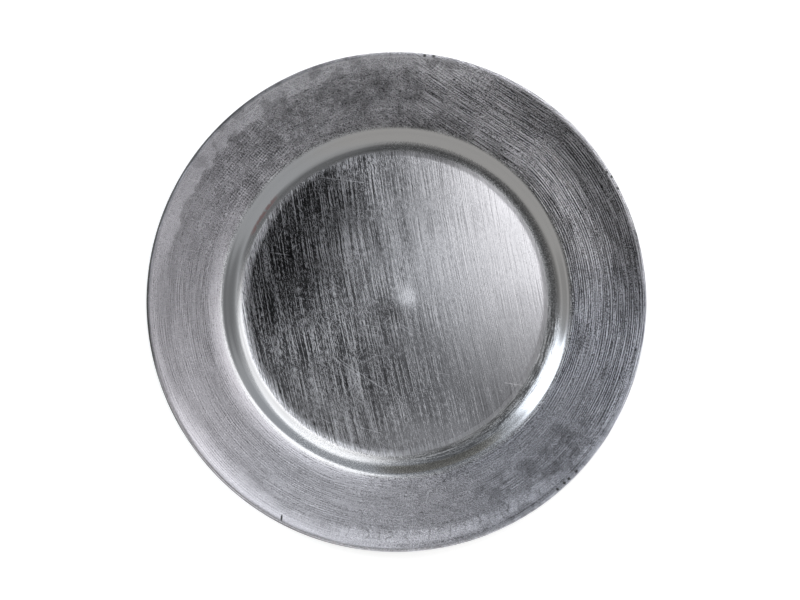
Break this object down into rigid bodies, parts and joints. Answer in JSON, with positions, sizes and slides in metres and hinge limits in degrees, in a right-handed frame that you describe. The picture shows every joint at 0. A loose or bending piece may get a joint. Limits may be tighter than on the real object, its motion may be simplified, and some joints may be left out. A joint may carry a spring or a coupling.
{
  "type": "charger plate",
  "caption": "Round under-plate with a shallow well, wide dished rim and turned-down lip, moulded in plastic and faced with brushed silver leaf; a dinner plate stands in its well.",
  "frame": {"origin": "centre of the circle that the foot ring stands on", "axes": "+Z up out of the well along the plate's axis; in the picture +X points right and +Y points up"},
  "size_m": [0.33, 0.33, 0.0164],
  "materials": {
    "black_plastic": "satin black moulding, seen at the chips in the leaf and on the back",
    "silver_leaf": "brushed imitation silver leaf with dark patina in the strokes, under clear lacquer"
  },
  "bodies": {
    "root": {"plate_moulding": "black_plastic", "silver_leaf": "silver_leaf"}
  },
  "joints": []
}
